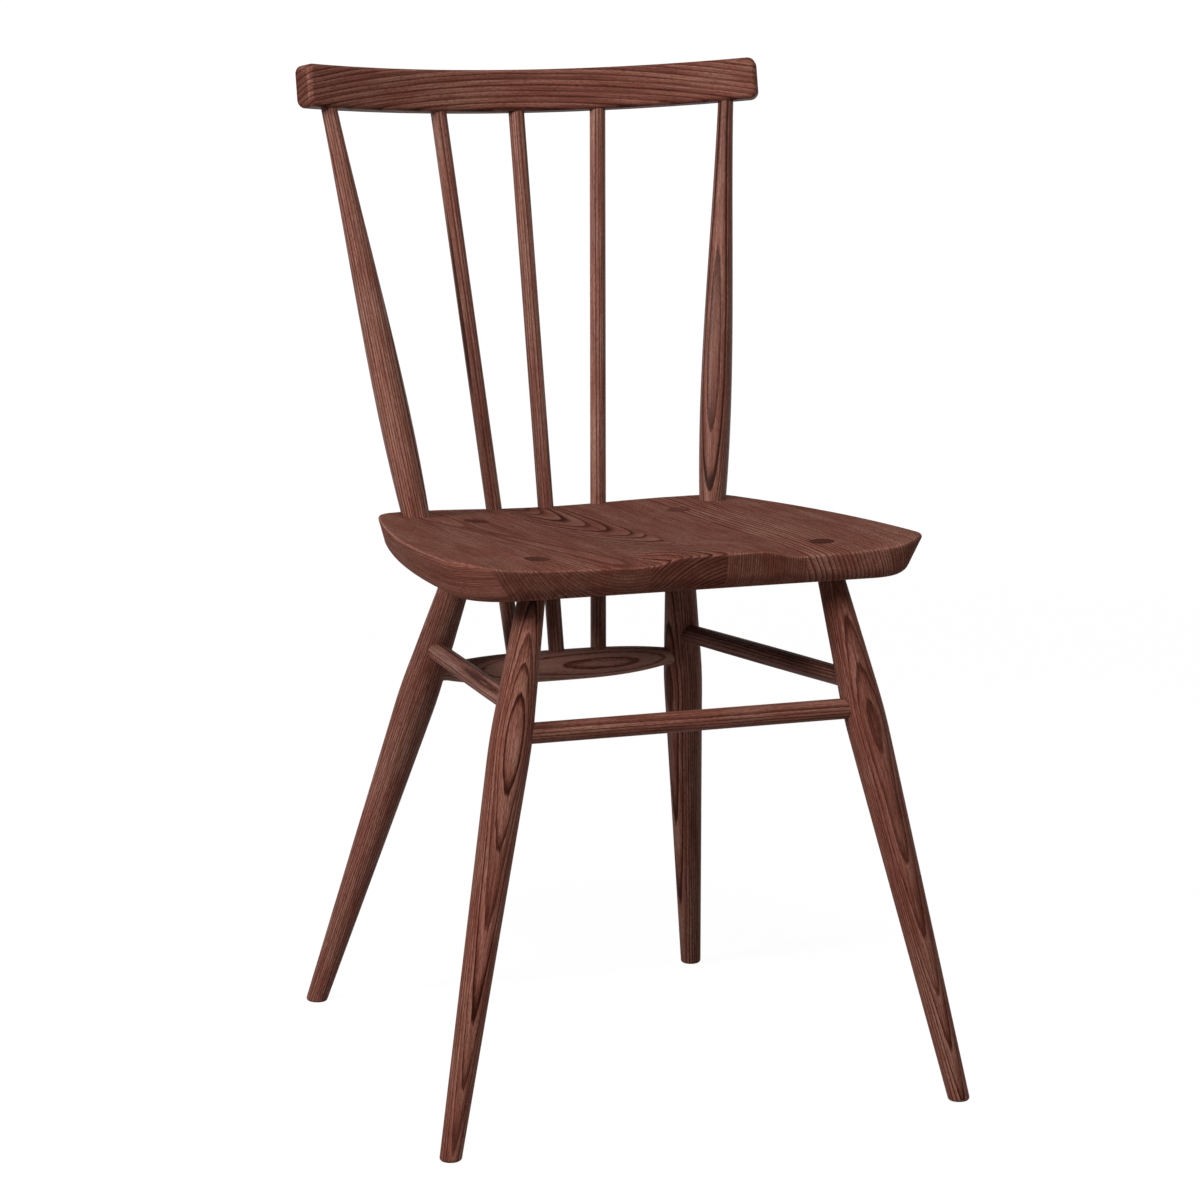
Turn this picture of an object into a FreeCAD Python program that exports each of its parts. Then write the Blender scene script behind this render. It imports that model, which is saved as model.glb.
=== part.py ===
import FreeCAD, Part
import math
import os

from FreeCAD import Placement, Rotation, Vector

# Turned wooden dining chair. The frame is +Z up, the front of the seat faces -Y,
# and the origin lies on the floor under the middle of the chair. Millimetres and degrees.

# Seat: a blank of four boards, tilted down towards the back, with a carved top
seat_height = 446.6            # rim plane above the floor, at y = 0
seat_tilt = 1.3                # downwards to the back
seat_thickness = 31.3
seat_front_y = -221.0
seat_length = 364.5            # front edge to the middle of the rounded back edge
seat_back_y = seat_front_y + seat_length
seat_back_radius = 362.0       # plan radius of the back edge
seat_front_half_width = 196.0
seat_back_half_width = 155.5
seat_side_bulge = 15.5         # how far each side bows out of a straight line
seat_lower_side_bulge = 9.5
seat_front_corner_radius = 38.0
seat_lower_front_corner_radius = 46.0
seat_back_corner_radius = 26.0
seat_front_undercut = 4.0      # how far the walls lean in on the way down
seat_front_side_undercut = 9.5
seat_back_side_undercut = 7.0
seat_back_undercut = 5.0
seat_rim_radius = 2.2
seat_lower_edge_radius = 13.0
seat_joint_left_x = -43.5      # glue lines between the boards
seat_joint_middle_x = 19.0
seat_joint_right_x = 85.6

# Carved top: a wide basin, a roll down to the front edge, and a low pommel between the thighs
basin_depth = 8.5
basin_half_width = 185.0
basin_back_half_width = 133.0
basin_front_share = 0.235      # share of the depth that is left at the front edge
basin_back_share = 0.6
basin_front_run = 120.0        # length over which the basin reaches its depth
basin_narrowing_start_y = -10.0
basin_narrowing_run = 120.0
basin_rise_start_y = -20.0
basin_rise_run = 160.0
roll_depth = 7.8
roll_run = 109.0
roll_half_width = 184.0
pommel_height = 6.3
pommel_x = 17.5                # the carved ridge sits a little to the right
pommel_half_width = 62.5
pommel_flat_half_width = 31.0
pommel_run = 125.0
back_roll_depth = 2.6          # the top rolls down to the back edge
back_roll_run = 14.0
back_roll_half_width = 142.0

basin_wall_power = 2.0         # how the basin runs out across the seat
roll_power = 1.5
roll_side_power = 8.0
back_roll_power = 2.0
back_roll_side_power = 4.0

# Legs: a long taper, a swell under the seat, and a straight tenon through the seat
axis_plane_drop = 1.6          # leg and post axes are placed this far under the rim plane
front_leg_inset_x = 77.3       # from the front corner of the blank, before it is rounded
front_leg_inset_y = 47.4       # from the front edge
front_foot_splay_x = 94.9      # the foot stands this far outside the upper end
front_foot_splay_y = 62.0
rear_leg_inset_x = 67.0
rear_leg_inset_y = 93.0        # from the back edge
rear_foot_splay_x = 87.8
rear_foot_splay_y = 185.0
front_foot_radius = 8.45
rear_foot_radius = 8.85
front_swell_below_seat = 112.4
rear_swell_below_seat = 135.7
leg_swell_corner_radius = 16.65
leg_swell_round = 500.0        # arc that eases the swell
front_leg_neck_radius = 10.5
rear_leg_neck_radius = 11.3
leg_tenon_radius = 10.0
foot_edge_radius = 2.6

# Wedges driven into the leg tenons from above
wedge_length = 20.0
wedge_top_width = 2.2
wedge_tip_width = 0.6

# Crest rail: a straight stick bent to an arc and leaned back
crest_length = 419.2           # along the bend
crest_bend_radius = 432.0
crest_rake = 11.3
crest_height = 35.2
crest_thickness = 19.0
crest_above_seat = 337.1       # middle of the rail above the rim plane
crest_behind_seat = 56.7       # middle of the rail behind the back edge
crest_end_corner_radius = 7.0
crest_edge_radius = 4.2

# Back posts: radii at distances from the seat and from the crest rail
post_inset_x = 23.9            # from the back corner of the blank
post_inset_y = 63.7            # from the back edge
post_crest_inset = 28.0        # from the end of the crest rail, along the bend
post_base_radius = 11.25
post_swell_distance = 90.0
post_swell_radius = 13.15
post_shoulder_distance = 175.0
post_shoulder_radius = 11.45
post_waist_below_crest = 81.4
post_waist_radius = 8.6
post_top_radius = 6.55
post_tenon_radius = 8.0

# Spindles and lower back rail
spindle_radius = 6.7
spindle_crest_spacing = 71.6   # along the bend
spindle_rail_spacing = 37.0
rail_inset_y = 40.5            # from the back edge of the seat
rail_sag = 1.2                 # the belly hangs a little below the line of the tenons
rail_middle_height = 26.4
rail_middle_depth = 24.0
rail_swell_power = 3.0
rail_tenon_radius = 7.3

# Stretchers
side_stretcher_front_drop = 110.6   # axis below the rim plane of the seat
side_stretcher_rear_drop = 116.6
side_stretcher_end_radius = 7.75
side_stretcher_middle_radius = 8.1
front_stretcher_below_side = 21.0   # so that the tenons pass each other in the leg
rail_below_side = 21.2
front_stretcher_radius = 8.2

# Joints
glue_clearance = 0.1           # between a tenon and its socket, on the radius
past_axis = 4.0                # how far a cross tenon runs past the axis of its leg
crest_socket_depth = 22.0
spindle_past_rail = 3.0        # how far a spindle runs below the axis of the rail
post_socket_depth = 19.0

# Blanks and cutting tools
trim_allowance = 14.0          # blanks run this far past the surface that trims them
rim_allowance = 3.0            # height of the seat blank above its rim plane
carving_margin = 20.0
carving_columns = 45
carving_rows = 61
rail_spans = 10
tool_reach = 4 * seat_height   # size of the boxes that cut half of space away
same_place = 0.01              # places closer than this are taken as one

side_signs = {"left": -1, "right": 1}


def write_part(name, shape):
    if not shape.isValid():
        print("invalid shape:", name)
    if len(shape.Solids) != 1:
        print("not one solid:", name, len(shape.Solids))
    shape.exportStep("parts/" + name + ".step")
    print(name, "volume", round(shape.Volume / 1000, 1), "cm3")


def ease(value):
    value = min(max(value, 0.0), 1.0)
    return value * value * (3 - 2 * value)


def point_at_height(start, end, z):
    share = (z - start.z) / (end.z - start.z)
    return start + (end - start) * share


def along(start, end, length):
    return start + (end - start).normalize() * length


def turned(profile, start, end):
    # revolves edges in the local XZ plane, from (radius, distance) at one end to the other
    low = profile[0].firstVertex().Point
    high = profile[-1].lastVertex().Point
    closing = [
        Part.makeLine(Vector(0, 0, low.z), low),
        Part.makeLine(high, Vector(0, 0, high.z)),
        Part.makeLine(Vector(0, 0, high.z), Vector(0, 0, low.z)),
    ]
    outline = Part.Wire([closing[0]] + profile + closing[1:])
    solid = Part.Face(outline).revolve(Vector(0, 0, 0), Vector(0, 0, 1), 360)
    solid = Part.Solid(solid.Shells[0]) if not solid.Solids else solid.Solids[0]
    solid.Placement = Placement(start, Rotation(Vector(0, 0, 1), end - start))
    return solid


def station(radius, distance):
    return Vector(radius, 0, distance)


def line(first, second):
    return Part.makeLine(first, second)


def rod(start, end, radius):
    direction = end - start
    return Part.makeCylinder(radius, direction.Length, start, direction)


def socket(start, end, radius):
    return rod(start, end, radius + glue_clearance)


def half_space(z):
    # box that stands for everything above the height z
    corner = Vector(-tool_reach / 2, -tool_reach / 2, z)
    return Part.makeBox(tool_reach, tool_reach, tool_reach, corner)


# Seat

def carving_depth(x, y):
    # depth of the carved top below the rim plane
    front_distance = y - seat_front_y
    fill = basin_front_share + (1 - basin_front_share) * ease(front_distance / basin_front_run)
    fill *= 1 - (1 - basin_back_share) * ease((y - basin_rise_start_y) / basin_rise_run)
    narrowing = ease((y - basin_narrowing_start_y) / basin_narrowing_run)
    half_width = basin_half_width + (basin_back_half_width - basin_half_width) * narrowing
    across = max(1 - (x / half_width) ** 2, 0.0) ** basin_wall_power
    basin = basin_depth * fill * across

    roll_share = max(1 - front_distance / roll_run, 0.0) ** roll_power
    roll = roll_depth * roll_share * max(1 - abs(x / roll_half_width) ** roll_side_power, 0.0)

    flank = pommel_half_width - pommel_flat_half_width
    ridge = ease((pommel_half_width - abs(x - pommel_x)) / flank)
    pommel = pommel_height * ridge * ease(1 - front_distance / pommel_run)

    arc_centre_y = seat_back_y - seat_back_radius
    back_distance = seat_back_radius - math.hypot(x, y - arc_centre_y)
    back_share = max(1 - max(back_distance, 0.0) / back_roll_run, 0.0)
    back_fade = max(1 - abs(x / back_roll_half_width) ** back_roll_side_power, 0.0)
    back_roll = back_roll_depth * back_fade * back_share ** back_roll_power
    return basin + roll + back_roll - pommel


def seat_placement():
    return Placement(Vector(0, 0, seat_height), Rotation(Vector(1, 0, 0), -seat_tilt))


def seat_outline(z):
    # closed plan outline at the local height z, eight edges with rounded corners
    share = -z / seat_thickness
    front_y = seat_front_y + seat_front_undercut * share
    back_y = seat_back_y - seat_back_undercut * share
    front_x = seat_front_half_width - seat_front_side_undercut * share
    back_x = seat_back_half_width - seat_back_side_undercut * share
    back_corner_y = back_y - seat_back_radius + math.sqrt(seat_back_radius ** 2 - back_x ** 2)
    front = Vector(front_x, front_y, z)
    back = Vector(back_x, back_corner_y, z)
    outward = (back - front).cross(Vector(0, 0, 1)).normalize()
    bulge = seat_side_bulge + (seat_lower_side_bulge - seat_side_bulge) * share
    corner_growth = seat_lower_front_corner_radius - seat_front_corner_radius
    side_middle = (front + back) * 0.5 + outward * bulge

    def mirrored(point):
        return Vector(-point.x, point.y, point.z)

    edges = [
        Part.makeLine(mirrored(front), front),
        Part.Arc(front, side_middle, back).toShape(),
        Part.Arc(back, Vector(0, back_y, z), mirrored(back)).toShape(),
        Part.Arc(mirrored(back), mirrored(side_middle), mirrored(front)).toShape(),
    ]
    prism = Part.Face(Part.Wire(edges)).extrude(Vector(0, 0, 1))
    corner_share = seat_front_corner_radius + corner_growth * share
    prism = prism.makeFillet(corner_share, upright_edges(prism, front_x, front_y))
    prism = prism.makeFillet(seat_back_corner_radius, upright_edges(prism, back_x, back_corner_y))
    return min(prism.Faces, key=lambda face: face.CenterOfMass.z).OuterWire


def upright_edges(prism, x, y):
    # the two edges of a prism that stand at the plan positions (x, y) and (-x, y)
    edges = []
    for edge in prism.Edges:
        middle = edge.CenterOfMass
        if math.hypot(abs(middle.x) - x, middle.y - y) < same_place:
            edges.append(edge)
    return edges


def carving_tool(lift):
    # everything above the carved top, raised by a small lift, in the local seat frame
    x_reach = seat_front_half_width + carving_margin
    y_start = seat_front_y - carving_margin
    y_end = seat_back_y + carving_margin
    grid = []
    for row in range(carving_rows):
        y = y_start + (y_end - y_start) * row / (carving_rows - 1)
        y_inside = max(y, seat_front_y)
        grid.append([])
        for column in range(carving_columns):
            x = -x_reach + 2 * x_reach * column / (carving_columns - 1)
            grid[-1].append(Vector(x, y, lift - carving_depth(x, y_inside)))
    surface = Part.BSplineSurface()
    surface.interpolate(grid)
    return surface.toShape().extrude(Vector(0, 0, seat_height))


def rim_edges(solid):
    # edges between the carved top, which is the largest face, and the walls
    top = max(solid.Faces, key=lambda face: face.Area * (face.CenterOfMass.z > -seat_thickness / 2))
    return top.OuterWire.Edges


def make_seat():
    blank = Part.makeLoft([seat_outline(-seat_thickness), seat_outline(rim_allowance)], True, True)
    lower_edges = [edge for edge in blank.Edges if edge.BoundBox.ZMax < same_place - seat_thickness]
    blank = blank.makeFillet(seat_lower_edge_radius, lower_edges)
    carved = blank.cut(carving_tool(0))
    carved = carved.makeFillet(seat_rim_radius, rim_edges(carved))
    carved.Placement = seat_placement()
    return carved


def above_seat(lift):
    # tool that trims whatever stands in or on the seat to its carved top
    tool = carving_tool(lift)
    tool.Placement = seat_placement()
    return tool


def above_seat_bottom():
    # half space above the flat underside of the seat
    tool = half_space(-seat_thickness)
    tool.Placement = seat_placement()
    return tool


# Lines on which the pieces lie

def mirrored_pair(x, y, z):
    return {side: Vector(sign * x, y, z) for side, sign in side_signs.items()}


axis_plane = seat_height - axis_plane_drop
front_leg_top_x = seat_front_half_width - front_leg_inset_x
front_leg_top_y = seat_front_y + front_leg_inset_y
rear_leg_top_x = seat_back_half_width - rear_leg_inset_x
rear_leg_top_y = seat_back_y - rear_leg_inset_y
leg_tops = {
    "front": mirrored_pair(front_leg_top_x, front_leg_top_y, axis_plane),
    "rear": mirrored_pair(rear_leg_top_x, rear_leg_top_y, axis_plane),
}
feet = {
    "front": mirrored_pair(front_leg_top_x + front_foot_splay_x, front_leg_top_y - front_foot_splay_y, 0),
    "rear": mirrored_pair(rear_leg_top_x + rear_foot_splay_x, rear_leg_top_y + rear_foot_splay_y, 0),
}
foot_radii = {"front": front_foot_radius, "rear": rear_foot_radius}
neck_radii = {"front": front_leg_neck_radius, "rear": rear_leg_neck_radius}
swell_drops = {"front": front_swell_below_seat, "rear": rear_swell_below_seat}


def leg_point(row, side, z):
    return point_at_height(feet[row][side], leg_tops[row][side], z)


def crest_point(distance, height):
    # on the bent centre line of the crest, at a distance along it and a distance up the rail
    turn = distance / crest_bend_radius
    forward = crest_bend_radius * (1 - math.cos(turn))
    rake = math.radians(crest_rake)
    x = crest_bend_radius * math.sin(turn)
    y = seat_back_y + crest_behind_seat - forward * math.cos(rake) + height * math.sin(rake)
    z = seat_height + crest_above_seat + forward * math.sin(rake) + height * math.cos(rake)
    return Vector(x, y, z)


post_base_x = seat_back_half_width - post_inset_x
post_bases = mirrored_pair(post_base_x, seat_back_y - post_inset_y, axis_plane)
post_crest_distance = crest_length / 2 - post_crest_inset
post_tops = {
    side: crest_point(sign * post_crest_distance, -crest_height / 2)
    for side, sign in side_signs.items()
}
rail_y = seat_back_y - rail_inset_y
rail_z = seat_height - side_stretcher_rear_drop - rail_below_side
spindle_places = {"left": -1, "middle": 0, "right": 1}
spindle_tops = {
    name: crest_point(place * spindle_crest_spacing, -crest_height / 2)
    for name, place in spindle_places.items()
}
spindle_rail_points = {
    name: Vector(place * spindle_rail_spacing, rail_y, rail_z)
    for name, place in spindle_places.items()
}


def cross_tenon_ends(first, second):
    # a cross piece runs a little past the axes of the two legs that hold it
    return along(first, second, -past_axis), along(second, first, -past_axis)


side_stretcher_front_z = seat_height - side_stretcher_front_drop
side_stretcher_rear_z = seat_height - side_stretcher_rear_drop
front_stretcher_z = side_stretcher_front_z - front_stretcher_below_side
front_stretcher_ends = cross_tenon_ends(
    leg_point("front", "left", front_stretcher_z),
    leg_point("front", "right", front_stretcher_z),
)
side_stretcher_ends = {
    side: cross_tenon_ends(
        leg_point("front", side, side_stretcher_front_z),
        leg_point("rear", side, side_stretcher_rear_z),
    )
    for side in side_signs
}
rail_half_span = abs(leg_point("rear", "left", rail_z).x)
rail_ends = cross_tenon_ends(
    Vector(-rail_half_span, rail_y, rail_z),
    Vector(rail_half_span, rail_y, rail_z),
)


# Legs and their wedges

def swell_profile(foot, swell, neck):
    # two straight tapers that meet in an easing arc
    half_turn = (neck - swell).getAngle(swell - foot) / 2
    reach = leg_swell_round * math.tan(half_turn)
    before = along(swell, foot, reach)
    after = along(swell, neck, reach)
    drop = leg_swell_round * (1 / math.cos(half_turn) - 1)
    middle = swell + ((before + after) * 0.5 - swell).normalize() * drop
    return [line(foot, before), Part.Arc(before, middle, after).toShape(), line(after, neck)]


def underside_height(y):
    # height of the flat underside of the tilted seat above the floor
    tilt = math.radians(seat_tilt)
    return seat_height - seat_thickness / math.cos(tilt) - y * math.tan(tilt)


def leg_blank(row, side):
    foot = feet[row][side]
    top = leg_tops[row][side]
    underside_z = underside_height(top.y)
    neck_distance = (top - foot).Length * underside_z / top.z
    swell_distance = neck_distance - swell_drops[row]
    foot_slope = (leg_swell_corner_radius - foot_radii[row]) / swell_distance
    neck_slope = (leg_swell_corner_radius - neck_radii[row]) / swell_drops[row]
    profile = swell_profile(
        station(foot_radii[row] - foot_slope * trim_allowance, -trim_allowance),
        station(leg_swell_corner_radius, swell_distance),
        station(neck_radii[row] - neck_slope * trim_allowance, neck_distance + trim_allowance),
    )
    body = turned(profile, foot, top)
    body = body.cut(above_seat_bottom()).common(half_space(0))
    tenon_start = leg_point(row, side, underside_z - trim_allowance)
    tenon = rod(tenon_start, along(top, foot, -trim_allowance), leg_tenon_radius)
    return body.fuse(tenon).removeSplitter()


def rounded_foot(leg):
    foot_edges = [edge for edge in leg.Edges if edge.BoundBox.ZMax < same_place]
    return leg.makeFillet(foot_edge_radius, foot_edges)


def wedge_blank(row, side):
    # tapers downwards along the leg, and lies across the grain of the seat boards
    foot = feet[row][side]
    top = leg_tops[row][side]
    growth = (wedge_top_width - wedge_tip_width) / wedge_length
    top_half = (wedge_top_width + growth * trim_allowance) / 2
    tip_half = wedge_tip_width / 2
    points = [
        Vector(-2 * leg_tenon_radius, -tip_half, -wedge_length),
        Vector(-2 * leg_tenon_radius, tip_half, -wedge_length),
        Vector(-2 * leg_tenon_radius, top_half, trim_allowance),
        Vector(-2 * leg_tenon_radius, -top_half, trim_allowance),
    ]
    outline = Part.makePolygon(points + points[:1])
    blade = Part.Face(outline).extrude(Vector(4 * leg_tenon_radius, 0, 0))
    blade.Placement = Placement(top, Rotation(Vector(0, 0, 1), top - foot))
    tenon_start = along(top, foot, 2 * wedge_length)
    tenon = rod(tenon_start, along(top, foot, -2 * trim_allowance), leg_tenon_radius)
    return blade.common(tenon)


def make_leg(row, side, trim):
    leg = rounded_foot(leg_blank(row, side))
    leg = leg.cut(wedge_blank(row, side)).cut(trim)
    if row == "front":
        leg = leg.cut(socket(*front_stretcher_ends, front_stretcher_radius))
    else:
        leg = leg.cut(socket(*rail_ends, rail_tenon_radius))
    return leg.cut(socket(*side_stretcher_ends[side], side_stretcher_end_radius))


# Back: crest rail, posts, spindles and the lower rail

def make_post(side, trim):
    base = post_bases[side]
    top = post_tops[side]
    length = (top - base).Length
    stations = [
        station(post_base_radius, 0),
        station(post_swell_radius, post_swell_distance),
        station(post_shoulder_radius, post_shoulder_distance),
        station(post_waist_radius, length - post_waist_below_crest),
        station(post_top_radius, length),
    ]
    curve = Part.BSplineCurve()
    curve.interpolate(stations)
    profile = [
        line(station(post_base_radius, -trim_allowance), stations[0]),
        curve.toShape(),
        line(stations[-1], station(post_top_radius, length + crest_socket_depth)),
    ]
    body = turned(profile, base, top).common(trim)
    tenon = rod(along(base, top, -post_socket_depth), along(base, top, trim_allowance), post_tenon_radius)
    return body.fuse(tenon).removeSplitter()


def post_crest_tenon(side):
    base = post_bases[side]
    top = post_tops[side]
    return along(top, base, trim_allowance), along(top, base, -crest_socket_depth)


def spindle_ends(name):
    low = spindle_rail_points[name]
    high = spindle_tops[name]
    return along(low, high, -spindle_past_rail), along(high, low, -crest_socket_depth)


def crest_outline_edges(crest):
    # the two long loops around the front face and the back face
    edges = []
    for face in sorted(crest.Faces, key=lambda face: face.Area)[-2:]:
        edges.extend(face.OuterWire.Edges)
    return edges


def make_crest():
    half_height = crest_height / 2
    half_thickness = crest_thickness / 2
    corners = [
        Vector(0, -half_thickness, -half_height),
        Vector(0, half_thickness, -half_height),
        Vector(0, half_thickness, half_height),
        Vector(0, -half_thickness, half_height),
    ]
    section = Part.Face(Part.makePolygon(corners + corners[:1]))
    centre = Vector(0, -crest_bend_radius, 0)
    half_angle = math.degrees(crest_length / 2 / crest_bend_radius)
    section.rotate(centre, Vector(0, 0, 1), -half_angle)
    crest = section.revolve(centre, Vector(0, 0, 1), 2 * half_angle)
    end_corners = [edge for edge in crest.Edges if abs(edge.Length - crest_thickness) < same_place]
    crest = crest.makeFillet(crest_end_corner_radius, end_corners)
    crest = crest.makeFillet(crest_edge_radius, crest_outline_edges(crest))
    rake = Rotation(Vector(1, 0, 0), -crest_rake)
    crest.Placement = Placement(crest_point(0, 0), rake)
    for side in side_signs:
        crest = crest.cut(socket(*post_crest_tenon(side), post_top_radius))
    for name in spindle_places:
        crest = crest.cut(socket(*spindle_ends(name), spindle_radius))
    return crest


def rail_ring(x):
    # oval section of the lower rail at a distance from its middle
    body_half_length = rail_half_span - leg_swell_corner_radius
    fade = min(abs(x) / body_half_length, 1.0) ** rail_swell_power
    half_height = rail_middle_height / 2 + (rail_tenon_radius - rail_middle_height / 2) * fade
    half_depth = rail_middle_depth / 2 + (rail_tenon_radius - rail_middle_depth / 2) * fade
    ring = Part.Wire(Part.Circle(Vector(0, 0, 0), Vector(1, 0, 0), 1.0).toShape())
    stretch = FreeCAD.Matrix()
    stretch.scale(1, half_depth, half_height)
    stretch.move(Vector(x, rail_y, rail_z - rail_sag * (1 - fade)))
    return ring.transformGeometry(stretch)


def make_rail():
    body_half_length = rail_half_span - leg_swell_corner_radius
    places = [body_half_length * (2 * step / rail_spans - 1) for step in range(rail_spans + 1)]
    rail = Part.makeLoft([rail_ring(x) for x in places], True)
    ends = [Vector(sign * body_half_length, rail_y, rail_z) for sign in side_signs.values()]
    for inner, outer in zip(ends, rail_ends):
        rail = rail.fuse(rod(inner, outer, rail_tenon_radius))
    for name in spindle_places:
        rail = rail.cut(socket(*spindle_ends(name), spindle_radius))
    return rail.removeSplitter()


# Stretchers

def make_side_stretcher(side):
    start, end = side_stretcher_ends[side]
    length = (end - start).Length
    straight = past_axis + leg_swell_corner_radius
    inner_start = station(side_stretcher_end_radius, straight)
    inner_end = station(side_stretcher_end_radius, length - straight)
    middle = station(side_stretcher_middle_radius, length / 2)
    profile = [
        line(station(side_stretcher_end_radius, 0), inner_start),
        Part.Arc(inner_start, middle, inner_end).toShape(),
        line(inner_end, station(side_stretcher_end_radius, length)),
    ]
    return turned(profile, start, end)


# Seat boards, cut from the carved blank with the sockets bored through them

def seat_sockets():
    sockets = []
    for row in feet:
        for side in side_signs:
            top = leg_tops[row][side]
            foot = feet[row][side]
            low = along(top, foot, seat_thickness + trim_allowance)
            sockets.append(socket(low, along(top, foot, -trim_allowance), leg_tenon_radius))
    for side in side_signs:
        base = post_bases[side]
        top = post_tops[side]
        low = along(base, top, -post_socket_depth)
        sockets.append(socket(low, along(base, top, trim_allowance), post_tenon_radius))
    for name in spindle_places:
        sockets.append(socket(*spindle_ends(name), spindle_radius))
    return sockets


def make_boards(seat):
    joints = [seat_joint_left_x, seat_joint_middle_x, seat_joint_right_x]
    borders = [-tool_reach / 2] + joints + [tool_reach / 2]
    names = ["left", "mid_left", "mid_right", "right"]
    sockets = seat_sockets()
    boards = {}
    for name, low, high in zip(names, borders, borders[1:]):
        slab = Part.makeBox(high - low, tool_reach, tool_reach, Vector(low, -tool_reach / 2, 0))
        board = seat.common(slab)
        for hole in sockets:
            board = board.cut(hole)
        boards[name] = board
    return boards


def make_wedge(row, side, trim):
    return wedge_blank(row, side).cut(trim)


above_carving = above_seat(0)

for board_name, board_shape in make_boards(make_seat()).items():
    write_part("seat_board_" + board_name, board_shape)

for row_name in feet:
    for side_name in side_signs:
        place_name = row_name + "_" + side_name
        write_part("leg_" + place_name, make_leg(row_name, side_name, above_carving))
        write_part("wedge_" + place_name, make_wedge(row_name, side_name, above_carving))

above_glue_line = above_seat(glue_clearance)
for side_name in side_signs:
    write_part("post_" + side_name, make_post(side_name, above_glue_line))
    write_part("stretcher_" + side_name, make_side_stretcher(side_name))

for spindle_name in spindle_places:
    write_part("spindle_" + spindle_name, rod(*spindle_ends(spindle_name), spindle_radius))

write_part("stretcher_front", rod(*front_stretcher_ends, front_stretcher_radius))
write_part("back_rail_lower", make_rail())
write_part("crest_rail", make_crest())
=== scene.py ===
import math

import bpy
import numpy as np
from mathutils import Matrix

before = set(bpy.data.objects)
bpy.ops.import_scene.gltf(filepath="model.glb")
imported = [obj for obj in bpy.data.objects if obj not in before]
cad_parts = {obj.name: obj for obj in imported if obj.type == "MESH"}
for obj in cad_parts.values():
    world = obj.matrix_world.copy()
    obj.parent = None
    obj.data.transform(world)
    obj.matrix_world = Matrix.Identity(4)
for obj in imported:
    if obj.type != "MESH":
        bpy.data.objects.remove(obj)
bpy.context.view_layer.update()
print("frame loaded:", len(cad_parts), "pieces of wood")


# Helpers for shader nodes

def feed(tree, socket, value):
    # value is a link from another node, or plain
    if isinstance(value, bpy.types.NodeSocket):
        tree.links.new(value, socket)
    else:
        socket.default_value = value


def addNode(tree, kind, sockets=None, **settings):
    # sockets are given by name or by number
    node = tree.nodes.new("ShaderNode" + kind)
    for name, value in settings.items():
        setattr(node, name, value)
    for name, value in (sockets or {}).items():
        feed(tree, node.inputs[name], value)
    return node


def reckon(tree, operation, first, second=0.0, third=0.0):
    return addNode(tree, "Math", {0: first, 1: second, 2: third}, operation=operation).outputs[0]


def slope(tree, value, start, end, low=0.0, high=1.0):
    # soft step from low to high while the value goes from start to end
    sockets = {"Value": value, "From Min": start, "From Max": end, "To Min": low, "To Max": high}
    return addNode(tree, "MapRange", sockets, interpolation_type="SMOOTHSTEP").outputs[0]


def blendColours(tree, share, first, second):
    # 6, 7 and output 2 are the Mix node's colour sockets
    return addNode(tree, "Mix", {0: share, 6: first, 7: second}, data_type="RGBA").outputs[2]


def blendVectors(tree, share, first, second):
    # 4, 5 and output 1 are the Mix node's vector sockets
    return addNode(tree, "Mix", {0: share, 4: first, 5: second}, data_type="VECTOR").outputs[1]


def stretched(tree, vector, across, along):
    # scales the two directions across the grain alike, and the one along it by itself
    sockets = {0: vector, 1: (across, across, along)}
    return addNode(tree, "VectorMath", sockets, operation="MULTIPLY").outputs[0]


def cloudy(tree, vector, detail=2.0, roughness=0.5):
    sockets = {"Vector": vector, "Scale": 1.0, "Detail": detail, "Roughness": roughness}
    return addNode(tree, "TexNoise", sockets, noise_dimensions="3D")


def newGroup(name, takes, gives):
    # takes and gives list (name, kind, default) of the sockets
    tree = bpy.data.node_groups.new(name, "ShaderNodeTree")
    for label, kind, default in takes:
        socket = tree.interface.new_socket(label, in_out="INPUT", socket_type="NodeSocket" + kind)
        if default is not None:
            socket.default_value = default
    for label, kind in gives:
        tree.interface.new_socket(label, in_out="OUTPUT", socket_type="NodeSocket" + kind)
    source = tree.nodes.new("NodeGroupInput")
    sink = tree.nodes.new("NodeGroupOutput")
    return tree, source.outputs, sink.inputs


def addGroup(tree, group, sockets):
    node = tree.nodes.new("ShaderNodeGroup")
    node.node_tree = group
    for name, value in sockets.items():
        feed(tree, node.inputs[name], value)
    return node.outputs


# Stained ash. Grain coordinates are metres: x and y across the stick, z along it.

ash = {
    "paleStreak": (0.250, 0.1260, 0.0980, 1),
    "lateWood": (0.132, 0.0465, 0.0325, 1),
    "earlyWood": (0.020, 0.0042, 0.0022, 1),
    "redPatch": (1.03, 0.96, 0.95, 1),
    "brownPatch": (0.99, 1.03, 1.00, 1),
    "poreWidth": 0.00050,
    "poreLength": 0.0042,
    "fibreWidth": 0.0010,
    "fibreLength": 0.040,
    "fibreShare": 0.40,
    "bandWidth": 0.0060,
    "bandLength": 0.180,
    "patchWidth": 0.022,
    "patchLength": 0.075,
    "roughness": 0.50,
    "poreDepth": 0.00012,
    "lacquerTint": (1.0, 0.90, 0.83, 1),
}


ringShape = {
    "wanderGain": 4.0,          # clouds rarely reach their limits, so the wander is made larger
    "unevenScale": 0.37,
    "unevenShare": 0.9,
    "riseEnd": 0.08,            # places within a ring, from 0 to 1
    "fallStart": 0.10,
    "fallEnd": 0.48,
    "lateStart": 0.45,
    "weakest": 0.45,            # faintest early wood, and how much more the boldest has
    "bolder": 0.55,
}


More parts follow.
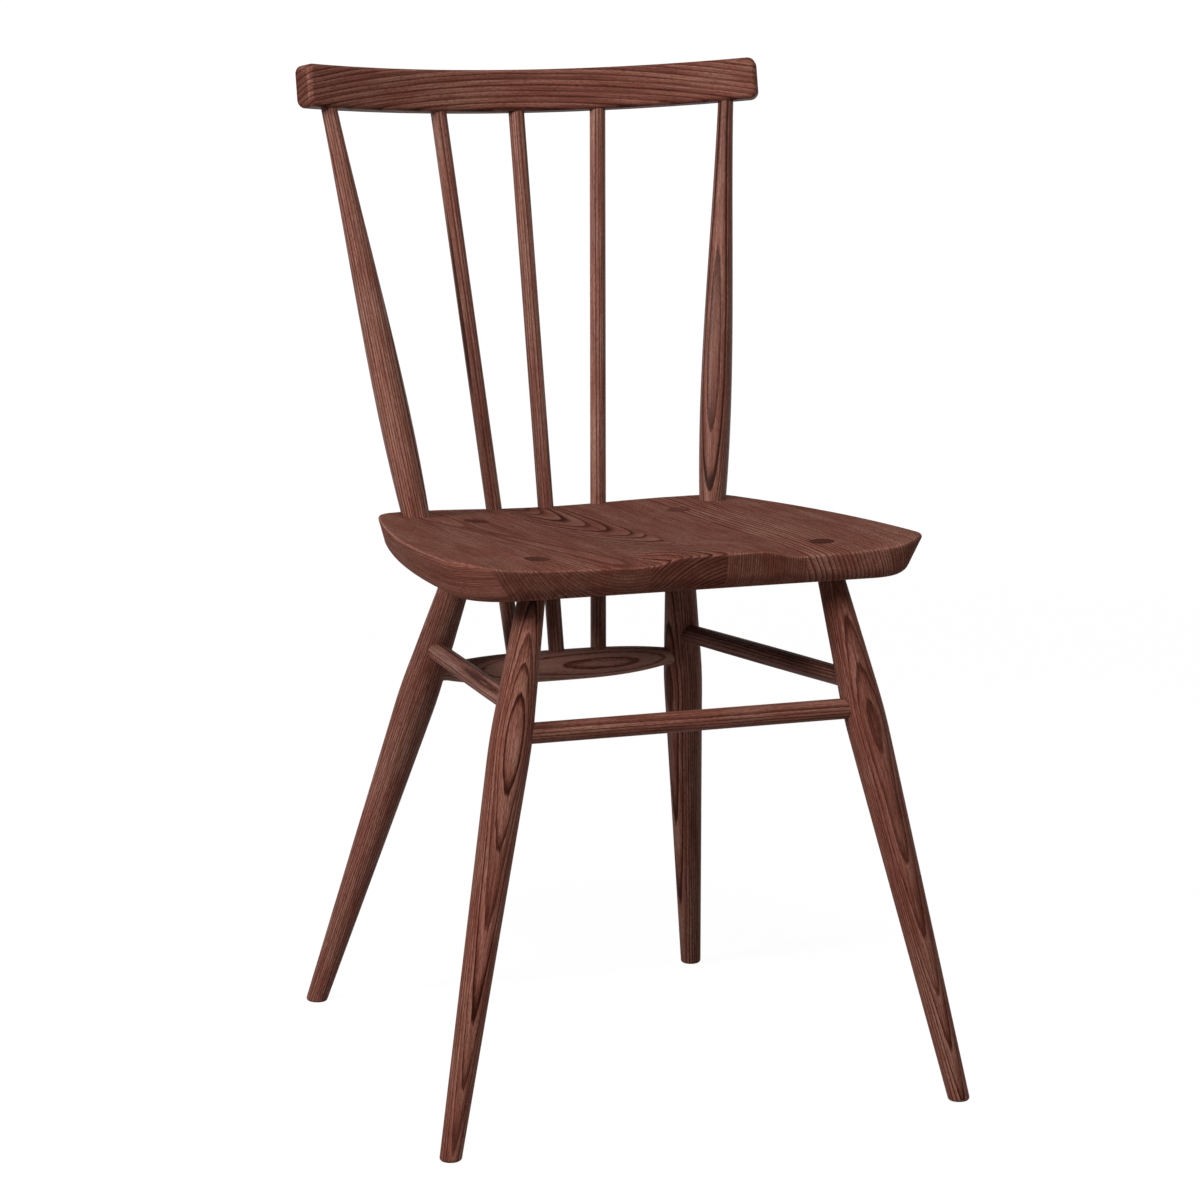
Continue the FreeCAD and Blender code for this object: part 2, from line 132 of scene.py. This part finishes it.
def makeRingGroup():
    # growth rings: distance from a wandering pith, cut into rings of uneven width; each ring starts
    # with a sharp dark band of open early wood that fades into late wood. The rings grow narrower
    # outwards: a ring's width is the first one's times e to minus the radius times the narrowing.
    tree, take, give = newGroup(
        "growthRings",
        [
            ("Grain", "Vector", None),
            ("Pith", "Vector", None),
            ("Lean", "Vector", None),
            ("Ring Width", "Float", 0.0025),
            ("Narrowing", "Float", 0.01),
            ("Wander", "Float", 0.002),
            ("Wander Length", "Float", 0.12),
            ("Seed", "Float", 0.0),
        ],
        [("Early Wood", "Float"), ("Late Wood", "Float"), ("Ring Tone", "Float")],
    )
    rate = reckon(tree, "DIVIDE", 1.0, take["Wander Length"])
    slow = addNode(tree, "VectorMath", {0: take["Grain"], "Scale": rate}, operation="SCALE").outputs[0]
    seeded = addNode(tree, "CombineXYZ", {0: take["Seed"], 1: take["Seed"], 2: take["Seed"]}).outputs[0]
    place = addNode(tree, "VectorMath", {0: slow, 1: seeded}, operation="ADD").outputs[0]
    wave = cloudy(tree, place, detail=1.5, roughness=0.45).outputs["Color"]
    centred = addNode(tree, "VectorMath", {0: wave, 1: (0.5, 0.5, 0.5)}, operation="SUBTRACT").outputs[0]
    reach = reckon(tree, "MULTIPLY", take["Wander"], ringShape["wanderGain"])
    drift = addNode(tree, "VectorMath", {0: centred, "Scale": reach}, operation="SCALE").outputs[0]
    moved = addNode(tree, "VectorMath", {0: take["Grain"], 1: drift}, operation="ADD").outputs[0]
    run = addNode(tree, "SeparateXYZ", {0: take["Grain"]}).outputs["Z"]
    leaning = addNode(tree, "VectorMath", {0: take["Lean"], "Scale": run}, operation="SCALE").outputs[0]
    pith = addNode(tree, "VectorMath", {0: take["Pith"], 1: leaning}, operation="ADD").outputs[0]
    offset = addNode(tree, "VectorMath", {0: moved, 1: pith}, operation="SUBTRACT").outputs[0]
    flat = addNode(tree, "VectorMath", {0: offset, 1: (1, 1, 0)}, operation="MULTIPLY").outputs[0]
    radius = addNode(tree, "VectorMath", {0: flat}, operation="LENGTH").outputs["Value"]
    grown = reckon(tree, "EXPONENT", reckon(tree, "MULTIPLY", radius, take["Narrowing"]))
    first = reckon(tree, "MULTIPLY", take["Narrowing"], take["Ring Width"])
    turns = reckon(tree, "DIVIDE", reckon(tree, "SUBTRACT", grown, 1.0), first)
    unevenness = {"W": turns, "Scale": ringShape["unevenScale"], "Detail": 1.0}
    uneven = addNode(tree, "TexNoise", unevenness, noise_dimensions="1D").outputs["Fac"]
    phase = reckon(tree, "MULTIPLY_ADD", uneven, ringShape["unevenShare"], turns)
    part = reckon(tree, "FRACT", phase)
    number = reckon(tree, "FLOOR", phase)
    ringSeed = reckon(tree, "ADD", number, take["Seed"])
    tone = addNode(tree, "TexWhiteNoise", {"W": ringSeed}, noise_dimensions="1D").outputs["Value"]
    rise = slope(tree, part, 0.0, ringShape["riseEnd"])
    fall = slope(tree, part, ringShape["fallStart"], ringShape["fallEnd"], 1.0, 0.0)
    band = reckon(tree, "MULTIPLY", rise, fall)
    strength = reckon(tree, "MULTIPLY_ADD", tone, ringShape["bolder"], ringShape["weakest"])
    tree.links.new(reckon(tree, "MULTIPLY", band, strength), give["Early Wood"])
    tree.links.new(slope(tree, part, ringShape["lateStart"], 1.0), give["Late Wood"])
    tree.links.new(tone, give["Ring Tone"])
    return tree


# Where each kind of cloud starts to count, and where it counts in full

cloudEdges = {
    "Patch": (0.32, 0.68),
    "Band": (0.30, 0.70),
    "Fibre": (0.28, 0.72),
    "Pore": (0.51, 0.61),
}


def makeFibreGroup():
    # patches, streaks and pores: clouds drawn out along the grain at four sizes
    tree, take, give = newGroup(
        "woodFibres",
        [("Grain", "Vector", None), ("Seed", "Float", 0.0)],
        [("Patch", "Float"), ("Band", "Float"), ("Fibre", "Float"), ("Pore", "Float")],
    )
    seeded = addNode(tree, "CombineXYZ", {0: take["Seed"], 1: 0.0, 2: take["Seed"]}).outputs[0]

    def drawnOut(width, length, detail):
        vector = stretched(tree, take["Grain"], 1 / width, 1 / length)
        place = addNode(tree, "VectorMath", {0: vector, 1: seeded}, operation="ADD").outputs[0]
        return cloudy(tree, place, detail=detail).outputs["Fac"]

    clouds = {
        "Patch": drawnOut(ash["patchWidth"], ash["patchLength"], 1.0),
        "Band": drawnOut(ash["bandWidth"], ash["bandLength"], 2.0),
        "Fibre": drawnOut(ash["fibreWidth"], ash["fibreLength"], 3.0),
        "Pore": drawnOut(ash["poreWidth"], ash["poreLength"], 1.0),
    }
    for name, cloud in clouds.items():
        tree.links.new(slope(tree, cloud, *cloudEdges[name]), give[name])
    return tree


stainShares = {
    "ground": 0.34,             # tone of plain wood, from 0 for dark to 1 for the palest streak
    "band": 0.14,
    "patch": 0.13,
    "ringTone": 0.12,
    "lateWood": 0.15,
    "earlyWood": -0.70,
    "pore": 0.32,
    "poreInEarlyWood": 0.35,
    "earlyMattness": 0.12,
    "endMattness": 0.40,
    "poreMattness": 0.15,
    "earlyHollow": -0.25,
}


def makeStainGroup():
    # how the stain takes: dark in early wood and pores, paler on hard streaks, deeper on end grain; on the
    # seat's front faces the end darkening is also painted shade
    tree, take, give = newGroup(
        "stainedAsh",
        [
            ("Early Wood", "Float", 0.0),
            ("Late Wood", "Float", 0.5),
            ("Figure", "Float", 1.0),
            ("Ring Tone", "Float", 0.5),
            ("Patch", "Float", 0.5),
            ("Band", "Float", 0.5),
            ("Fibre", "Float", 0.5),
            ("Pore", "Float", 0.0),
            ("End Grain", "Float", 0.0),
            ("End Stain And Shade", "Float", 0.3),
            ("Depth", "Float", 0.0),
            ("Lightness", "Float", 1.0),
            ("Mattness", "Float", 0.5),
            ("Fibre Share", "Float", 0.4),
        ],
        [("Color", "Color"), ("Roughness", "Float"), ("Height", "Float")],
    )
    fibre = reckon(tree, "SUBTRACT", take["Fibre"], 0.5)
    streak = reckon(tree, "MULTIPLY_ADD", fibre, take["Fibre Share"], stainShares["ground"])
    streak = reckon(tree, "MULTIPLY_ADD", take["Band"], stainShares["band"], streak)
    streak = reckon(tree, "MULTIPLY_ADD", take["Patch"], stainShares["patch"], streak)
    streak = reckon(tree, "MULTIPLY_ADD", take["Ring Tone"], stainShares["ringTone"], streak)
    streak = reckon(tree, "MULTIPLY_ADD", take["Late Wood"], stainShares["lateWood"], streak)
    drawn = reckon(tree, "MULTIPLY", take["Early Wood"], take["Figure"])
    early = reckon(tree, "MULTIPLY_ADD", drawn, stainShares["earlyWood"], 1.0)
    poreShare = reckon(tree, "MULTIPLY_ADD", drawn, stainShares["poreInEarlyWood"], stainShares["pore"])
    pore = reckon(tree, "MULTIPLY", take["Pore"], poreShare)
    light = reckon(tree, "MULTIPLY", reckon(tree, "MULTIPLY", streak, early), take["Lightness"])
    light = reckon(tree, "MULTIPLY", light, reckon(tree, "SUBTRACT", 1.0, pore))
    # the tone runs from early wood over late wood, at one half, to the palest streak
    lower = reckon(tree, "MULTIPLY", light, 2.0)
    upper = reckon(tree, "MULTIPLY_ADD", light, 2.0, -1.0)
    wood = blendColours(tree, lower, ash["earlyWood"], ash["lateWood"])
    wood = blendColours(tree, upper, wood, ash["paleStreak"])
    # end grain is blended toward early wood: deeper stain, and on the seat's front faces also painted shade
    darkening = reckon(tree, "MULTIPLY_ADD", take["End Grain"], take["End Stain And Shade"], take["Depth"])
    wood = blendColours(tree, darkening, wood, ash["earlyWood"])
    tint = blendColours(tree, take["Patch"], ash["redPatch"], ash["brownPatch"])
    tinted = addNode(tree, "VectorMath", {0: wood, 1: tint}, operation="MULTIPLY").outputs[0]
    tree.links.new(tinted, give["Color"])
    matt = reckon(tree, "MULTIPLY_ADD", take["Early Wood"], stainShares["earlyMattness"], take["Mattness"])
    matt = reckon(tree, "MULTIPLY_ADD", take["End Grain"], stainShares["endMattness"], matt)
    matt = reckon(tree, "MULTIPLY_ADD", pore, stainShares["poreMattness"], matt)
    tree.links.new(matt, give["Roughness"])
    hollow = reckon(tree, "MULTIPLY_ADD", take["Early Wood"], stainShares["earlyHollow"], 1.0)
    tree.links.new(reckon(tree, "SUBTRACT", hollow, pore), give["Height"])
    return tree


def makeBendGroup():
    # straightens a stick bent about an upright axis: x is the depth from the middle line,
    # y the height, z the length along the bend
    tree, take, give = newGroup(
        "straightenedBend",
        [("Vector", "Vector", None), ("Bend Radius", "Float", 0.4), ("Run Out", "Float", 0.0)],
        [("Grain", "Vector")],
    )
    parts = addNode(tree, "SeparateXYZ", {0: take["Vector"]}).outputs
    forward = reckon(tree, "ADD", parts["Y"], take["Bend Radius"])
    turn = reckon(tree, "ARCTAN2", parts["X"], forward)
    sideSquare = reckon(tree, "MULTIPLY", parts["X"], parts["X"])
    forwardSquare = reckon(tree, "MULTIPLY", forward, forward)
    distance = reckon(tree, "SQRT", reckon(tree, "ADD", sideSquare, forwardSquare))
    depth = reckon(tree, "SUBTRACT", distance, take["Bend Radius"])
    length = reckon(tree, "MULTIPLY", turn, take["Bend Radius"])
    arch = reckon(tree, "MULTIPLY", reckon(tree, "MULTIPLY", length, length), take["Run Out"])
    height = reckon(tree, "ADD", parts["Z"], arch)
    grain = addNode(tree, "CombineXYZ", {0: depth, 1: height, 2: length}).outputs[0]
    tree.links.new(grain, give["Grain"])
    return tree


seatWall = {
    "seam": 0.172,              # from the middle of the seat to the seam, at the rim
    "seamLean": 0.7,
    "seamSoftness": 0.0004,
    "height": 0.4475,
    "tilt": 0.0227,
    "lineSpread": 2.3,
    "lineSlant": 0.12,
    "wallFull": 0.45,           # upward part of the normal, for a wall and for none
    "wallGone": 0.75,
    "sideFull": 0.55,           # backward part of the normal, for a side and for the back
    "sideGone": 0.75,
}


def makeStripGroup():
    # a strip of long grain that follows the wall of the seat round its front corner: there the
    # figure depends on the height alone. It ends on a seam that leans in on the way down.
    tree, take, give = newGroup(
        "edgeStrip",
        [
            ("Grain", "Vector", None),
            ("Normal", "Vector", None),
            ("Side", "Float", 1.0),
            ("Seam", "Float", seatWall["seam"]),
            ("Height", "Float", seatWall["height"]),
            ("Seam Lean", "Float", seatWall["seamLean"]),
            ("Tilt", "Float", seatWall["tilt"]),
            ("Line Spread", "Float", seatWall["lineSpread"]),
        ],
        [("Strip", "Float"), ("Ring Grain", "Vector"), ("Fibre Grain", "Vector")],
    )
    parts = addNode(tree, "SeparateXYZ", {0: take["Grain"]}).outputs
    faces = addNode(tree, "SeparateXYZ", {0: take["Normal"]}).outputs
    down = reckon(tree, "SUBTRACT", parts["Y"], take["Height"])
    seam = reckon(tree, "MULTIPLY_ADD", down, take["Seam Lean"], take["Seam"])
    beyond = reckon(tree, "SUBTRACT", reckon(tree, "MULTIPLY", parts["X"], take["Side"]), seam)
    outside = slope(tree, beyond, -seatWall["seamSoftness"], seatWall["seamSoftness"])
    wall = slope(tree, faces["Z"], seatWall["wallFull"], seatWall["wallGone"], 1.0, 0.0)
    notBack = slope(tree, faces["Y"], seatWall["sideFull"], seatWall["sideGone"], 1.0, 0.0)
    strip = reckon(tree, "MULTIPLY", reckon(tree, "MULTIPLY", outside, wall), notBack)
    fall = reckon(tree, "MULTIPLY", take["Tilt"], -1.0)
    level = reckon(tree, "MULTIPLY_ADD", parts["Z"], fall, down)
    spread = reckon(tree, "MULTIPLY_ADD", level, take["Line Spread"], take["Height"])
    edge = reckon(tree, "MULTIPLY", take["Side"], take["Seam"])
    slowRun = reckon(tree, "MULTIPLY", parts["Z"], seatWall["lineSlant"])
    ringPlace = addNode(tree, "CombineXYZ", {0: edge, 1: spread, 2: slowRun}).outputs[0]
    fibrePlace = addNode(tree, "CombineXYZ", {0: edge, 1: level, 2: parts["Z"]}).outputs[0]
    for name, place in (("Ring Grain", ringPlace), ("Fibre Grain", fibrePlace)):
        tree.links.new(blendVectors(tree, strip, take["Grain"], place), give[name])
    tree.links.new(strip, give["Strip"])
    return tree


ringGroup = makeRingGroup()
fibreGroup = makeFibreGroup()
stainGroup = makeStainGroup()
bendGroup = makeBendGroup()
stripGroup = makeStripGroup()
print("wood groups built")


# Where the stick of each piece lies

def stickFrame(node, up=(0, 0, 1)):
    # middle of the piece and its directions across, out and along, from the spread of its points
    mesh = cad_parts[node].data
    points = np.empty(len(mesh.vertices) * 3)
    mesh.vertices.foreach_get("co", points)
    points = points.reshape(-1, 3)
    middle = (points.min(axis=0) + points.max(axis=0)) / 2
    spread = np.linalg.svd(points - points.mean(axis=0), full_matrices=False)[2]
    along = spread[0] * np.sign(spread[0][np.argmax(np.abs(spread[0]))])
    across = np.cross(up, along)
    across /= np.linalg.norm(across)
    out = np.cross(along, across)
    return middle, np.column_stack([across, out, along])


surface = {
    "endStart": 0.70,           # cosine between normal and grain where end grain begins
    "endFull": 0.95,
    "rimStart": (0.42, 0.60),   # upward part of the normal on a rounded rim
    "rimEnd": (0.86, 0.97),
    "bumpStrength": 0.6,
}


def makeWood(name, middle, axes, settings):
    # one stick of stained ash; the Mapping node turns the pattern to lie along the stick
    material = bpy.data.materials.new(name)
    material.use_nodes = True
    tree = material.node_tree
    tree.nodes.clear()
    turned = Matrix(axes.tolist()).to_euler("XYZ")
    vector = addNode(tree, "TexCoord").outputs["Object"]
    grain = addNode(
        tree,
        "Mapping",
        {"Vector": vector, "Location": tuple(middle), "Rotation": tuple(turned)},
        vector_type="TEXTURE",
    ).outputs[0]
    if "bendRadius" in settings:
        bend = {"Vector": grain, "Bend Radius": settings["bendRadius"], "Run Out": settings["runOut"]}
        grain = addGroup(tree, bendGroup, bend)["Grain"]
    normal = addNode(tree, "NewGeometry").outputs["Normal"]
    axis = tuple(settings.get("endAxis", axes[:, 2]))
    facing = addNode(tree, "VectorMath", {0: normal, 1: axis}, operation="DOT_PRODUCT").outputs["Value"]
    endGrain = slope(tree, reckon(tree, "ABSOLUTE", facing), surface["endStart"], surface["endFull"])
    ringGrain = grain
    if "stripSide" in settings:
        wall = {"Grain": grain, "Normal": normal, "Side": settings["stripSide"]}
        strip = addGroup(tree, stripGroup, wall)
        ringGrain = strip["Ring Grain"]
        grain = strip["Fibre Grain"]
        endGrain = reckon(tree, "MULTIPLY", endGrain, reckon(tree, "SUBTRACT", 1.0, strip["Strip"]))
    lightness = settings.get("lightness", 1.0)
    matt = settings.get("roughness", ash["roughness"])
    # painted highlight: the rounded rim is painted lighter in place of the lamps' glint on it, and it is
    # also made glossier
    if "rimWear" in settings:
        upward = addNode(tree, "SeparateXYZ", {0: normal}).outputs["Z"]
        rimBegins = slope(tree, upward, *surface["rimStart"])
        rimEnds = slope(tree, upward, *surface["rimEnd"], 1.0, 0.0)
        rim = reckon(tree, "MULTIPLY", rimBegins, rimEnds)
        lightness = reckon(tree, "MULTIPLY_ADD", rim, settings["rimWear"], lightness)
        matt = reckon(tree, "MULTIPLY_ADD", rim, settings["rimPolish"], matt)
    endFigure = settings.get("endFigure", settings["figure"])
    figure = reckon(tree, "MULTIPLY_ADD", endGrain, endFigure - settings["figure"], settings["figure"])
    seed = settings["seed"]
    rings = addGroup(
        tree,
        ringGroup,
        {
            "Grain": ringGrain,
            "Pith": settings["pith"] + (0.0,),
            "Lean": settings.get("lean", (0.0, 0.0)) + (0.0,),
            "Ring Width": settings["ringWidth"],
            "Narrowing": settings.get("narrowing", 0.01),
            "Wander": settings["wander"],
            "Wander Length": settings["wanderLength"],
            "Seed": seed,
        },
    )
    fibres = addGroup(tree, fibreGroup, {"Grain": grain, "Seed": seed})
    stain = addGroup(
        tree,
        stainGroup,
        {
            "Early Wood": rings["Early Wood"],
            "Late Wood": rings["Late Wood"],
            "Figure": figure,
            "Ring Tone": rings["Ring Tone"],
            "Patch": fibres["Patch"],
            "Band": fibres["Band"],
            "Fibre": fibres["Fibre"],
            "Pore": fibres["Pore"],
            "End Grain": endGrain,
            "End Stain And Shade": settings["endDepth"],
            "Depth": settings.get("depth", 0.0),
            "Lightness": lightness,
            "Mattness": matt,
            "Fibre Share": settings.get("fibreShare", ash["fibreShare"]),
        },
    )
    relief = {
        "Height": stain["Height"],
        "Strength": surface["bumpStrength"],
        "Distance": ash["poreDepth"],
    }
    bump = addNode(tree, "Bump", relief).outputs[0]
    shader = addNode(
        tree,
        "BsdfPrincipled",
        {
            "Base Color": stain["Color"],
            "Roughness": stain["Roughness"],
            "Specular IOR Level": settings["lacquer"],
            "Specular Tint": ash["lacquerTint"],
            "Normal": bump,
        },
    )
    output = addNode(tree, "OutputMaterial", {"Surface": shader.outputs[0]})
    output.is_active_output = True
    return material


def dress(node, material):
    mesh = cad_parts[node].data
    mesh.materials.clear()
    mesh.materials.append(material)


# Seat boards: the grain runs from front to back, and each board has its own pith

boardAxes = np.array([[1.0, 0, 0], [0, 0, -1.0], [0, 1.0, 0]])   # across is +X, out +Z, along -Y
# On the boards the end darkening goes beyond the stain: it also paints shade on the front faces, which the
# lamps light little.
boards = {
    "seat_board_left": {
        "pith": (-0.103, 0.502), "lean": (0.20, 0.0), "ringWidth": 0.0025, "wander": 0.0005,
        "wanderLength": 0.16, "seed": 3.1, "figure": 0.85, "endFigure": 0.42, "endDepth": 0.45,
        "stripSide": -1.0,
    },
    "seat_board_mid_left": {
        "pith": (-0.0059, 0.3802), "lean": (0.195, -0.10), "ringWidth": 0.0032, "wander": 0.0010,
        "wanderLength": 0.11, "seed": 7.4, "figure": 1.4, "endFigure": 1.2, "depth": 0.10,
        "endDepth": 0.43,
    },
    "seat_board_mid_right": {
        "pith": (-0.200, 0.445), "ringWidth": 0.0019, "wander": 0.0006, "wanderLength": 0.14, "seed": 11.9,
        "figure": 0.75, "endFigure": 1.05, "depth": 0.03, "endDepth": 0.33,
    },
    # the right board's lightness of 1.12 is partly its paler tone and partly painted light on its front
    # face, which the lamps light little
    "seat_board_right": {
        "pith": (-0.110, 0.345), "ringWidth": 0.0426, "narrowing": 10.0, "wander": 0.0012,
        "wanderLength": 0.13, "seed": 17.2, "figure": 1.15, "endFigure": 1.2, "lightness": 1.12,
        "endDepth": 0.08,
    },
}
# each board's rim gets a painted highlight and a lower roughness
for node, settings in boards.items():
    settings.update(roughness=0.80, lacquer=0.02, rimWear=0.18, rimPolish=-0.35, fibreShare=0.28)
    dress(node, makeWood(node + "_ash", (0, 0, 0), boardAxes, settings))
print("seat boards dressed")


# Turned legs: front legs show flat-sawn arches, rear legs show straight edge grain.
# Each wedge is dressed like its leg, with its own seed.

wedgeSeedStep = 50
legs = {
    # the front left leg's lightness of 0.94 is painted shade: the whole leg is darkened a little for the
    # shade the seat casts on its top
    "leg_front_left": {
        "pith": (0.0100, 0.052), "ringWidth": 0.0014, "wander": 0.0008, "wanderLength": 0.16, "seed": 23.5,
        "lightness": 0.94, "endDepth": 0.62,
    },
    "leg_front_right": {
        "pith": (0.0020, 0.0510), "ringWidth": 0.0015, "wander": 0.0010, "wanderLength": 0.16, "seed": 29.3,
    },
    "leg_rear_left": {
        "pith": (-0.085, 0.030), "ringWidth": 0.0018, "wander": 0.0006, "wanderLength": 0.22, "seed": 31.8,
        "lightness": 1.2,
    },
    "leg_rear_right": {
        "pith": (0.090, 0.030), "ringWidth": 0.0018, "wander": 0.0006, "wanderLength": 0.22, "seed": 37.6,
        "lightness": 1.15, "endDepth": 0.45,
    },
}
for node, settings in legs.items():
    settings.update(figure=1.5, lacquer=0.03)
    settings.setdefault("endDepth", 0.75)
    middle, axes = stickFrame(node, up=(0, 1, 0))
    dress(node, makeWood(node + "_ash", middle, axes, settings))
    wedge = node.replace("leg", "wedge")
    wedgeSettings = dict(settings, seed=settings["seed"] + wedgeSeedStep)
    dress(wedge, makeWood(wedge + "_ash", middle, axes, wedgeSettings))
print("legs and wedges dressed")


# Posts and spindles

uprights = {
    "post_left": {
        "pith": (-0.070, 0.020), "ringWidth": 0.0022, "wander": 0.0008, "wanderLength": 0.24, "seed": 41.2,
    },
    "post_right": {
        "pith": (0.0339, 0.0434), "lean": (0.0089, 0.0114), "ringWidth": 0.00167, "wander": 0.0003,
        "wanderLength": 0.18, "seed": 43.9, "figure": 2.0, "lightness": 0.93,
    },
    "spindle_left": {
        "pith": (0.060, 0.030), "ringWidth": 0.0024, "wander": 0.0008, "wanderLength": 0.24, "seed": 47.7,
    },
    "spindle_middle": {
        "pith": (-0.055, 0.040), "ringWidth": 0.0022, "wander": 0.0008, "wanderLength": 0.24, "seed": 53.4,
    },
    "spindle_right": {
        "pith": (0.070, 0.010), "ringWidth": 0.0023, "wander": 0.0008, "wanderLength": 0.24, "seed": 59.6,
    },
}
for node, settings in uprights.items():
    settings.update(endDepth=0.3, roughness=0.33, lacquer=0.085)
    settings.setdefault("figure", 1.3)
    settings.setdefault("lightness", 1.05)
    middle, axes = stickFrame(node, up=(0, 1, 0))
    dress(node, makeWood(node + "_ash", middle, axes, settings))
print("posts and spindles dressed")


# Stretchers and the lower back rail

crosspieces = {
    "stretcher_front": {
        "pith": (0.030, -0.060), "ringWidth": 0.0025, "wander": 0.0010, "wanderLength": 0.20, "seed": 61.1,
    },
    "stretcher_left": {
        "pith": (0.050, 0.045), "ringWidth": 0.0026, "wander": 0.0010, "wanderLength": 0.20, "seed": 67.5,
        "lightness": 1.12,
    },
    "stretcher_right": {
        "pith": (0.045, -0.050), "ringWidth": 0.0024, "wander": 0.0010, "wanderLength": 0.20, "seed": 71.3,
    },
    # the lower back rail's lightness of 2.5 is painted light: it brightens the rail, which the seat shades
    # from the lamps
    "back_rail_lower": {
        "pith": (0.024, -0.002), "lean": (0.03, 0.01), "ringWidth": 0.0016, "wander": 0.0008,
        "wanderLength": 0.15, "seed": 73.8, "lightness": 2.5,
    },
}
for node, settings in crosspieces.items():
    settings.update(endDepth=0.3, figure=1.3, lacquer=0.035)
    middle, axes = stickFrame(node)
    dress(node, makeWood(node + "_ash", middle, axes, settings))
print("stretchers and rail dressed")


# Crest rail: the rings follow the bend and run out a little towards both ends

crest = {
    "middle": (0.0, 0.2002, 0.7837),
    "rake": math.radians(11.3),
    "bendRadius": 0.432,
    "runOut": 0.55,
    "pith": (-0.055, -0.110),
    "ringWidth": 0.0046,
    "wander": 0.0012,
    "wanderLength": 0.13,
    "seed": 79.9,
    "endAxis": (1, 0, 0),
    "endDepth": 0.55,
    "figure": 1.1,
    "lightness": 0.95,
    "roughness": 0.44,
    "lacquer": 0.035,
}
crestAxes = np.array(Matrix.Rotation(-crest["rake"], 3, "X"))
dress("crest_rail", makeWood("crest_rail_ash", crest["middle"], crestAxes, crest))
print("crest rail dressed")


# Floor, light and camera

floorSettings = {
    "size": 140.0,
    "drop": 0.0006,
    "colour": (0.36, 0.36, 0.36, 1),
    "seenColour": (0.95, 0.95, 0.95, 1),
    "paperGlow": 1.03,
    "nearPaper": 0.94,
    "farPaper": 1.0,
    "nearEdge": 1.0,
    "farEdge": 6.0,
}


def backgroundRay(tree):
    # 1 for the rays that see the white studio: from the camera, a gloss or through glass
    path = addNode(tree, "LightPath").outputs
    seen = reckon(tree, "MAXIMUM", path["Is Camera Ray"], path["Is Glossy Ray"])
    return reckon(tree, "MAXIMUM", seen, path["Is Transmission Ray"])


def makeFloor():
    # a wide flat sheet; the camera sees it as nearly plain white, with a faint shadow by the chair
    half = floorSettings["size"] / 2
    low = -floorSettings["drop"]
    corners = [(-half, -half, low), (half, -half, low), (half, half, low), (-half, half, low)]
    mesh = bpy.data.meshes.new("floor")
    mesh.from_pydata(corners, [], [(0, 1, 2, 3)])
    floor = bpy.data.objects.new("floor", mesh)
    bpy.context.scene.collection.objects.link(floor)
    material = bpy.data.materials.new("paper_floor")
    material.use_nodes = True
    tree = material.node_tree
    tree.nodes.clear()
    seen = backgroundRay(tree)
    colour = blendColours(tree, seen, floorSettings["colour"], floorSettings["seenColour"])
    matt = addNode(tree, "BsdfDiffuse", {"Color": colour}).outputs[0]
    glow = {"Color": (1, 1, 1, 1), "Strength": floorSettings["paperGlow"]}
    white = addNode(tree, "Emission", glow).outputs[0]
    place = addNode(tree, "TexCoord").outputs["Object"]
    distance = addNode(tree, "VectorMath", {0: place}, operation="LENGTH").outputs["Value"]
    edges = floorSettings["nearEdge"], floorSettings["farEdge"]
    paper = slope(tree, distance, *edges, floorSettings["nearPaper"], floorSettings["farPaper"])
    share = reckon(tree, "MULTIPLY", seen, paper)
    mixed = addNode(tree, "MixShader", {0: share, 1: matt, 2: white}).outputs[0]
    addNode(tree, "OutputMaterial", {"Surface": mixed})
    mesh.materials.append(material)


sky = {"strength": 0.08}


def makeSky():
    # even studio air, plain white where the camera looks past the floor
    world = bpy.data.worlds.new("studio")
    bpy.context.scene.world = world
    world.use_nodes = True
    tree = world.node_tree
    tree.nodes.clear()
    air = addNode(tree, "Background", {"Color": (1, 1, 1, 1), "Strength": sky["strength"]}).outputs[0]
    white = addNode(tree, "Background", {"Color": (1, 1, 1, 1), "Strength": 1.0}).outputs[0]
    mixed = addNode(tree, "MixShader", {0: backgroundRay(tree), 1: air, 2: white}).outputs[0]
    addNode(tree, "OutputWorld", {"Surface": mixed})


lamps = {
    "side": {"place": (-2.98, -0.85, 1.9), "aim": (0, 0, 0.45), "size": 0.8, "power": 106.0},
    "front": {"place": (-0.87, -2.37, 2.7), "aim": (0, 0, 0.45), "size": 1.0, "power": 88.0},
    "fill": {"place": (2.7, -1.9, 0.8), "aim": (0, 0, 0.3), "size": 1.8, "power": 7.0},
}


def vectorTo(direction):
    # Euler angles that point the -Z axis of a lamp along the direction
    flat = math.hypot(direction[0], direction[1])
    return (math.atan2(flat, -direction[2]), 0, math.atan2(-direction[0], direction[1]))


def makeLamps():
    for name, lamp in lamps.items():
        data = bpy.data.lights.new(name, "AREA")
        data.shape = "SQUARE"
        data.size = lamp["size"]
        data.energy = lamp["power"]
        obj = bpy.data.objects.new(name, data)
        bpy.context.scene.collection.objects.link(obj)
        aim = np.array(lamp["aim"]) - np.array(lamp["place"])
        obj.location = lamp["place"]
        obj.rotation_euler = vectorTo(aim)


camera = {
    "place": (-1.1193, -2.9167, 0.9095),
    "yaw": math.radians(20.98),
    "pitch": math.radians(9.63),
    "roll": math.radians(-0.15),
    "lens": 116.64,
    "sensor": 36.0,
    "clipEnd": 200.0,
}


def makeCamera():
    data = bpy.data.cameras.new("camera")
    data.lens = camera["lens"]
    data.sensor_width = camera["sensor"]
    data.clip_end = camera["clipEnd"]
    obj = bpy.data.objects.new("camera", data)
    bpy.context.scene.collection.objects.link(obj)
    aim = Matrix.Rotation(-camera["yaw"], 4, "Z") @ Matrix.Rotation(math.pi / 2 - camera["pitch"], 4, "X")
    obj.matrix_world = Matrix.Translation(camera["place"]) @ aim @ Matrix.Rotation(camera["roll"], 4, "Z")
    bpy.context.scene.camera = obj


makeFloor()
makeSky()
makeLamps()
makeCamera()
bpy.context.scene.view_settings.view_transform = "Standard"
print("floor, light and camera set")
